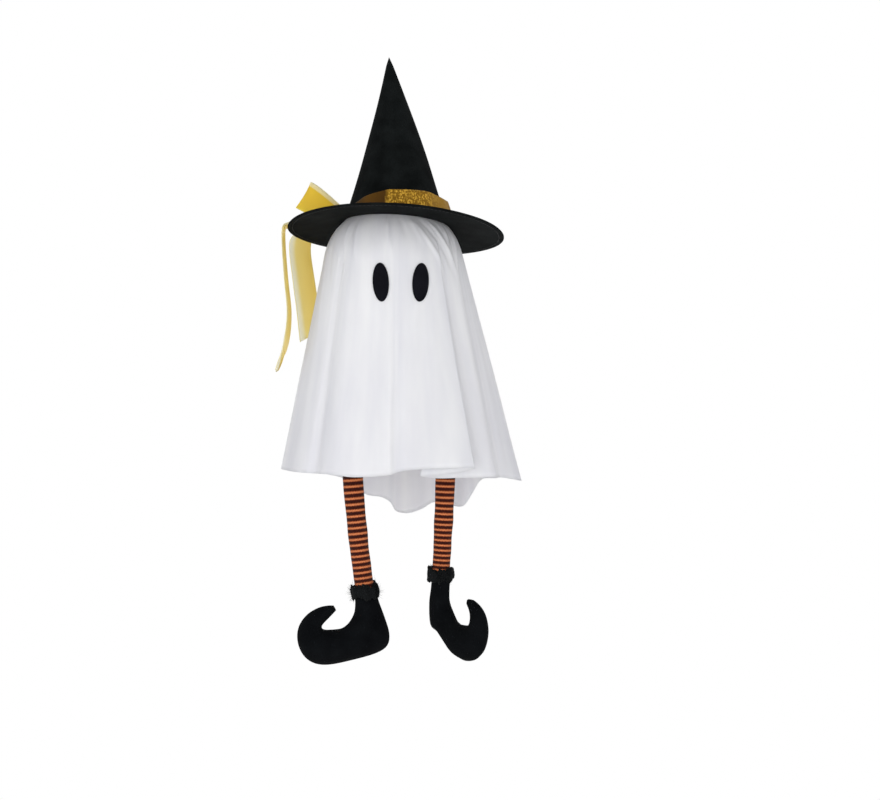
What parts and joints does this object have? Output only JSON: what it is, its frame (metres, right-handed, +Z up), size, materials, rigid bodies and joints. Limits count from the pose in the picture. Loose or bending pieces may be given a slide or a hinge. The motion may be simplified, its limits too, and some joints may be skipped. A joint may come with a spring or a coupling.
{
  "type": "hanging witch ghost decoration",
  "caption": "Hanging ghost of white cloth over a foam head, with a witch's hat, ribbon bow and stuffed striped legs in curled felt shoes.",
  "frame": {"origin": "the tip of the hat, which the decoration hangs from", "axes": "+Z up along the hanging decoration, -Y the way the ghost looks, -X to the left of someone who faces it"},
  "size_m": [0.2434, 0.2114, 0.5972],
  "materials": {
    "foam": "white moulded bead foam, matte",
    "sheet_cloth": "thin white polyester with a faint satin sheen",
    "eye_felt": "thin black felt, matte",
    "hat_felt": "black craft felt, matte",
    "gold_ribbon": "sheer gold ribbon over the black felt, faint glitter",
    "yellow_ribbon": "sheer yellow ribbon with a soft gloss",
    "striped_knit": "knitted cloth in narrow orange and black stripes, matte",
    "shoe_felt": "black felt, matte",
    "tulle": "black open net, matte"
  },
  "bodies": {
    "root": {"head_ball": "foam", "ghost_sheet": "sheet_cloth", "eye_left": "eye_felt", "eye_right": "eye_felt", "hat_brim": "hat_felt", "hat_crown": "hat_felt", "ribbon_band": "gold_ribbon", "ribbon_bow": "yellow_ribbon", "leg_left": "striped_knit", "leg_right": "striped_knit", "ruffle_left": "tulle", "ruffle_right": "tulle", "shoe_left": "shoe_felt", "shoe_right": "shoe_felt"}
  },
  "joints": []
}
